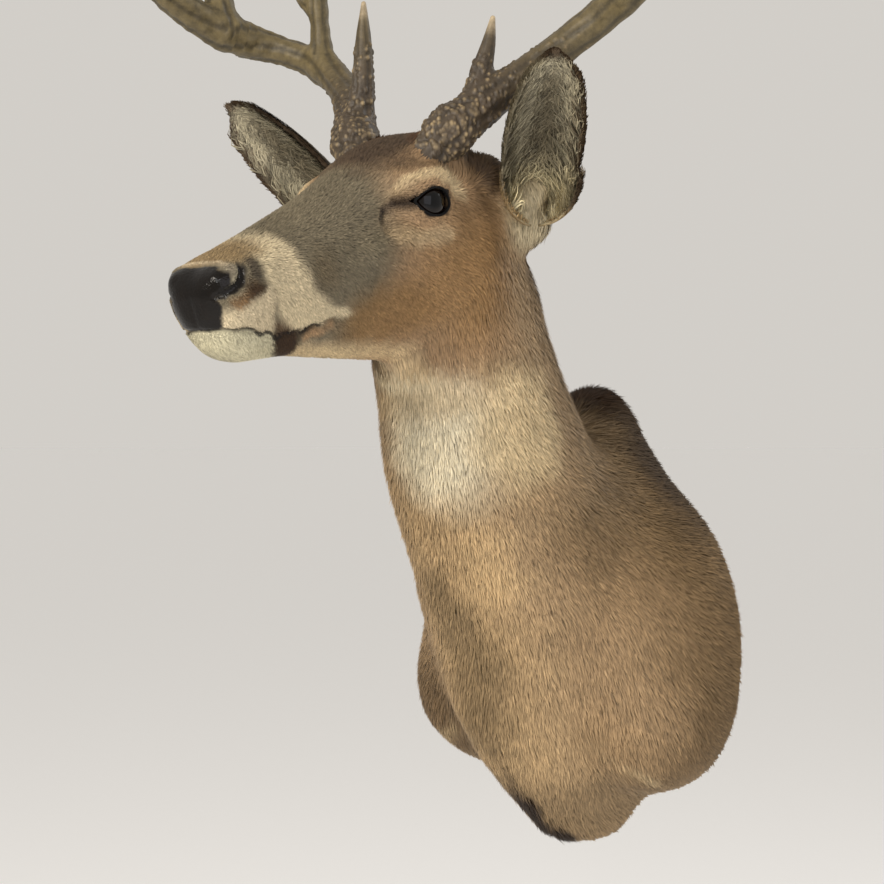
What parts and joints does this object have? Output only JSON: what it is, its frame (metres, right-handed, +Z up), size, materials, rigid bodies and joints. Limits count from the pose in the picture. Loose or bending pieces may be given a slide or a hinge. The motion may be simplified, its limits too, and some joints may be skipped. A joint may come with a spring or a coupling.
{
  "type": "deer shoulder mount",
  "caption": "White-tailed buck's head, neck and shoulders with antlers, on a flat back that hangs on a wall.",
  "frame": {"origin": "middle of the flat back, on the wall plane", "axes": "+Y into the wall, +Z up, +X to the deer's left; the deer faces -Y"},
  "size_m": [0.4291, 0.4378, 0.7642],
  "materials": {
    "coat": "short hair coat, grey-brown with pale muzzle, throat and ears",
    "eye_glass": "polished glass eye, near black",
    "antler": "antler bone, brown and beaded at the base, grey and horn-yellow above, pale tips",
    "plywood": "plain sanded plywood"
  },
  "bodies": {
    "root": {"backboard": "plywood", "chest": "coat", "shoulder_left": "coat", "shoulder_right": "coat", "neck": "coat", "head": "coat", "ear_left": "coat", "ear_right": "coat", "eye_left": "eye_glass", "eye_right": "eye_glass", "antler_left_beam_lower": "antler", "antler_left_beam_middle": "antler", "antler_left_beam_tip": "antler", "antler_left_brow_tine": "antler", "antler_left_second_tine": "antler", "antler_left_third_tine": "antler", "antler_right_beam_lower": "antler", "antler_right_beam_middle": "antler", "antler_right_beam_tip": "antler", "antler_right_brow_tine": "antler", "antler_right_second_tine": "antler", "antler_right_third_tine": "antler", "antler_right_sticker_point": "antler"}
  },
  "joints": []
}
